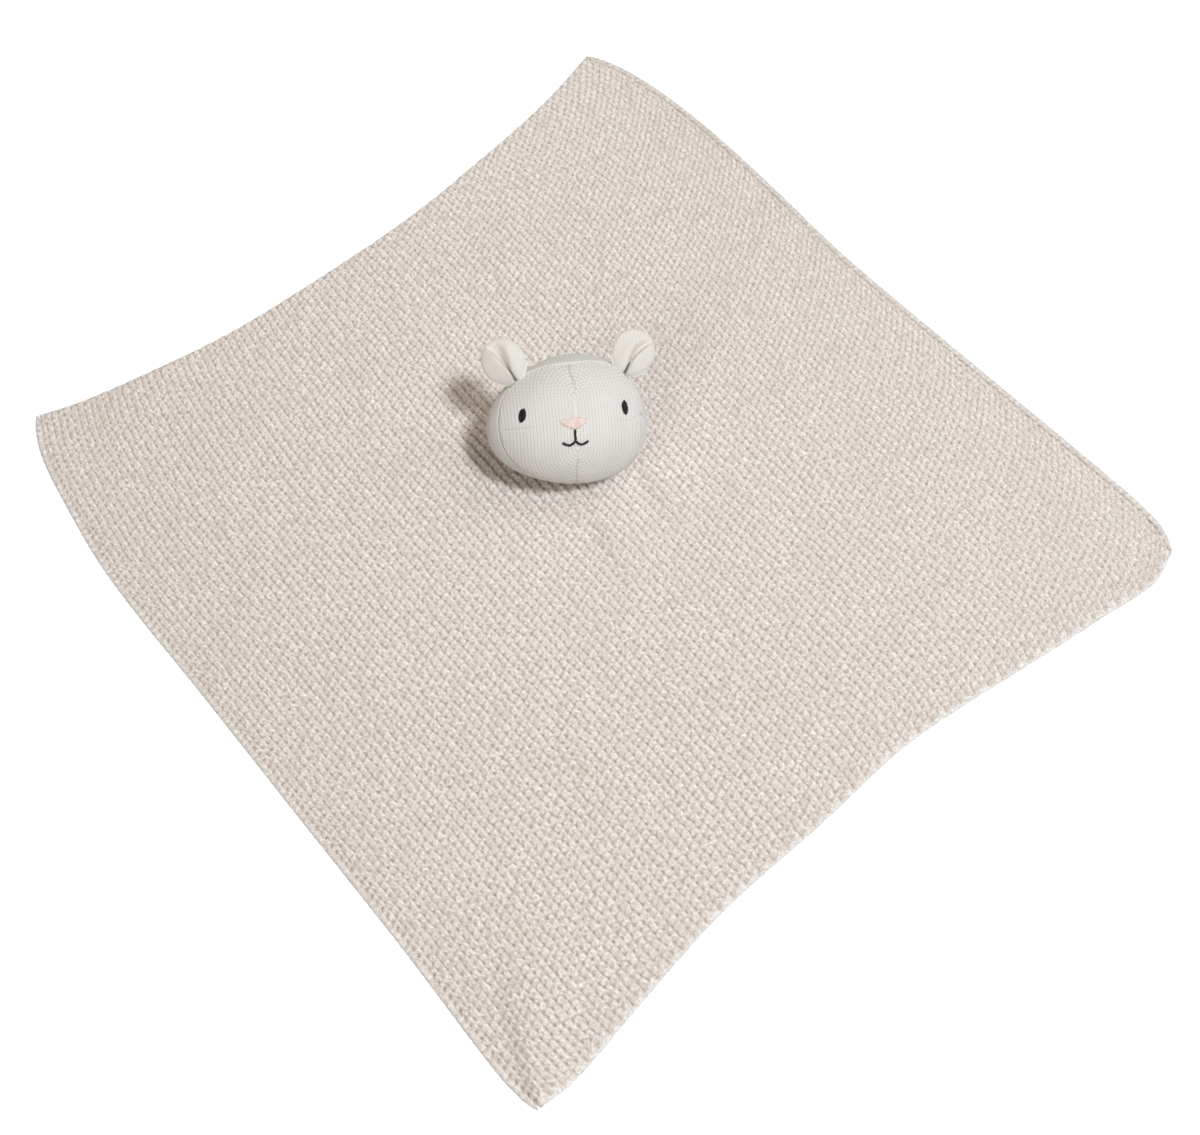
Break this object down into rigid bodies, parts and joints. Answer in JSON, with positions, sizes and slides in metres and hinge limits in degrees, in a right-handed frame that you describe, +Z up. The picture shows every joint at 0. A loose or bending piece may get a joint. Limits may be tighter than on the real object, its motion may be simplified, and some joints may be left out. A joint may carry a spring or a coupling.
{
  "type": "comfort blanket",
  "caption": "Square knitted comfort cloth lying flat, with a small stuffed animal head, round ears and an embroidered face, sewn down at its middle.",
  "frame": {"origin": "on the ground under the middle of the cloth's outline", "axes": "+Z up from the ground; the cloth's corners point to -X, +X, -Y and +Y; the head lies back on the cloth with its crown towards +Y and its face up and towards -Y"},
  "size_m": [0.5386, 0.5368, 0.062],
  "materials": {
    "beige_knit": "thick soft beige knit with a bumpy moss stitch",
    "cream_jersey": "fine smooth cream jersey knit",
    "white_filling": "loose white fibre filling, hidden inside",
    "cream_thread": "matt cream sewing thread",
    "black_thread": "black embroidery thread with a slight sheen",
    "pink_thread": "pale pink embroidery thread with a slight sheen"
  },
  "bodies": {
    "blanket": {"blanket": "beige_knit", "edge_band_left": "beige_knit", "edge_band_right": "beige_knit"},
    "neck": {"neck_stitches": "cream_thread"},
    "head": {"face_panel": "cream_jersey", "back_panel": "cream_jersey", "head_stuffing": "white_filling", "seam_thread": "cream_thread", "eye_left": "black_thread", "eye_right": "black_thread", "nose": "pink_thread", "mouth_stem": "black_thread", "mouth_smile": "black_thread"},
    "ear_left": {"ear_left_front": "cream_jersey", "ear_left_back": "cream_jersey"},
    "ear_right": {"ear_right_front": "cream_jersey", "ear_right_back": "cream_jersey"}
  },
  "joints": [
    {"name": "head_lean", "type": "hinge", "parent": "blanket", "child": "neck", "pos_m": [-0.00893, 0.00193, 0.0069], "axis": [-0.2079, 0.9781, 0], "range_deg": [-10, 10], "stiffness_Nm_per_rad": 0.06},
    {"name": "head_nod", "type": "hinge", "parent": "neck", "child": "head", "pos_m": [-0.00893, 0.00193, 0.0069], "axis": [0.9781, 0.2079, 0], "range_deg": [0, 55]},
    {"name": "ear_left_fold", "type": "hinge", "parent": "head", "child": "ear_left", "pos_m": [-0.03514, 0.02745, 0.05011], "axis": [0.805, 0.563, 0.1871], "range_deg": [-30, 35], "stiffness_Nm_per_rad": 0.003},
    {"name": "ear_right_fold", "type": "hinge", "parent": "head", "child": "ear_right", "pos_m": [0.01273, 0.03822, 0.04586], "axis": [0.9263, -0.1683, -0.3372], "range_deg": [-30, 35], "stiffness_Nm_per_rad": 0.003}
  ]
}
